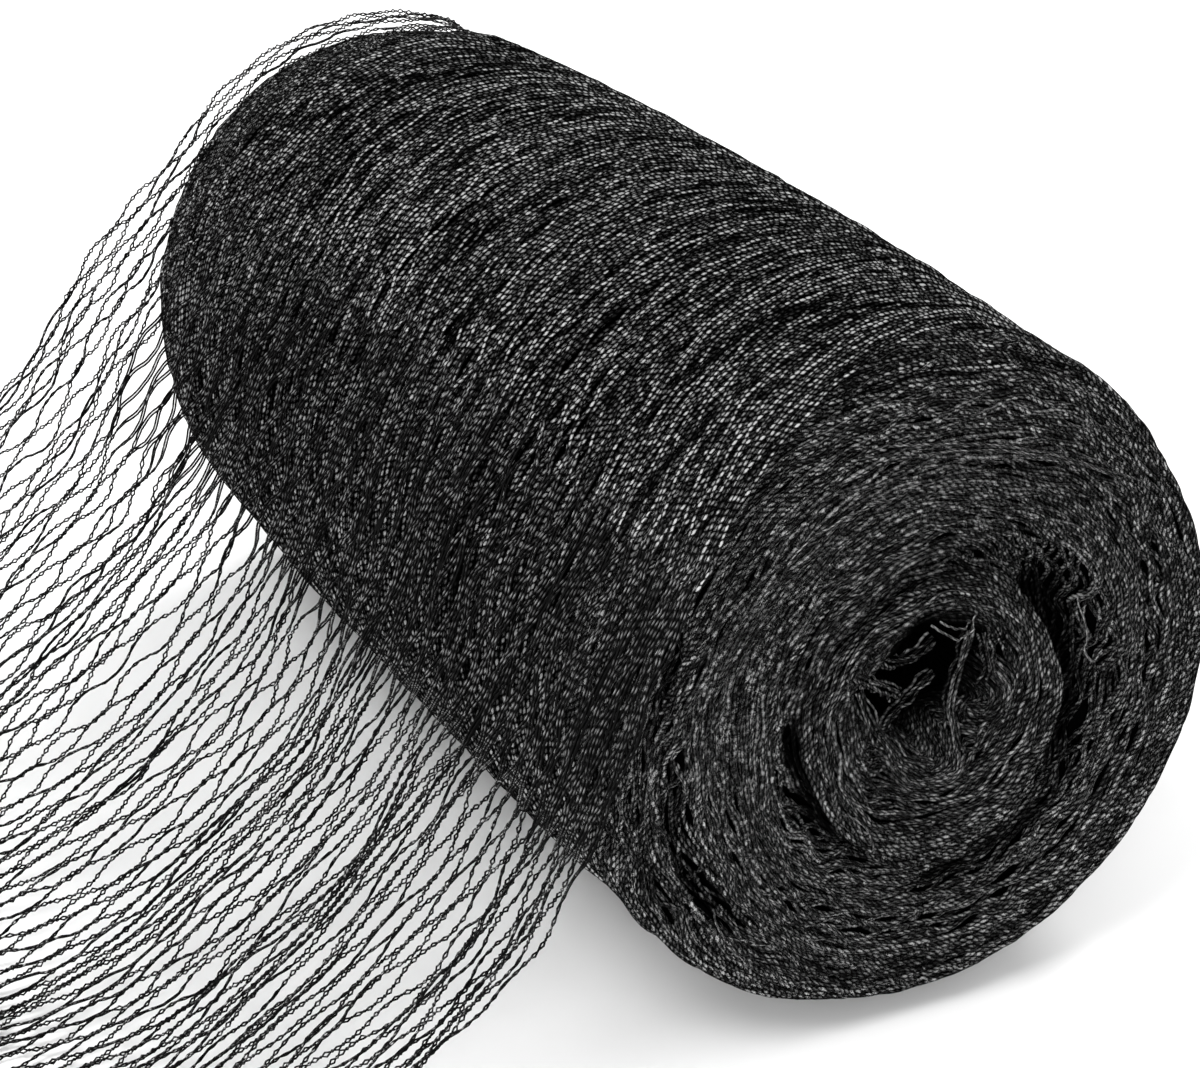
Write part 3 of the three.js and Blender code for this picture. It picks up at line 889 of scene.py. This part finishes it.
def lights():
    world = bpy.data.worlds.new("studio")
    bpy.context.scene.world = world
    world.use_nodes = True
    background = world.node_tree.nodes["Background"]
    background.inputs["Color"].default_value = (1, 1, 1, 1)
    background.inputs["Strength"].default_value = WORLD_STRENGTH
    for lamp in LAMPS:
        area_light(*lamp)


def camera():
    data = bpy.data.cameras.new("camera")
    data.lens = CAMERA_LENS
    data.sensor_width = 36
    data.clip_start, data.clip_end = 0.05, 60
    made = bpy.data.objects.new("camera", data)
    bpy.context.scene.collection.objects.link(made)
    level = math.cos(CAMERA_TILT)
    forward = (-math.cos(CAMERA_TURN) * level, math.sin(CAMERA_TURN) * level, -math.sin(CAMERA_TILT))
    made.location = CAMERA_PLACE
    made.rotation_euler = Vector(forward).to_track_quat("-Z", "Y").to_euler()
    bpy.context.scene.camera = made


strand_look = strand_material()
# Painted highlights of the chains; level sets how bright they are
chain_look = chain_material("netting_chain", 0.6, True, 1.12)
tangle_look = chain_material("netting_tangle", 2.0, False, 0.92)
dark_look = dark_material()

finish_piece(dark_body(), dark_look, "net_roll")
for piece in body_turns():
    finish_piece(piece, chain_look)
near_from, near_core, near_pole = body_to + END_INSET, travel_end - CORE_REACH, travel_end - POLE_GAP
for piece in end_turns("near_turns", near_from, near_core, 190, NEAR_OWN_SWAY, END_LAYERS, seed=60):
    finish_piece(piece, tangle_look)
for piece in end_turns("near_core_turns", near_core, near_pole, 90, CORE_OWN_SWAY, END_LAYERS, seed=70):
    finish_piece(piece, tangle_look)
far_from = body_from - END_INSET
for piece in end_turns("far_turns", far_from, POLE_GAP, 90, CORE_OWN_SWAY, END_LAYERS[1:], seed=80):
    finish_piece(piece, tangle_look)
folds = fold_mesh("hollow_folds", HOLLOW_FOLDS, FOLD_RADIUS, FOLD_YARNS, FOLD_YARN_WIDTH, FOLD_SHADE, seed=90)
finish_piece(folds, tangle_look)
strays = fold_mesh("stray_yarns", STRAY_YARNS, 0, 1, STRAY_WIDTH, STRAY_SHADE, seed=95)
finish_piece(strays, tangle_look)

for piece in hanging_net():
    finish_piece(piece, strand_look, "net_loose_end")
seated = seated_net()
finish_piece(seated, chain_look, "net_loose_end")
edge = seated_edge()
finish_piece(edge, strand_look, "net_loose_end")

stage()
lights()
camera()
bpy.context.scene.view_settings.view_transform = "Standard"
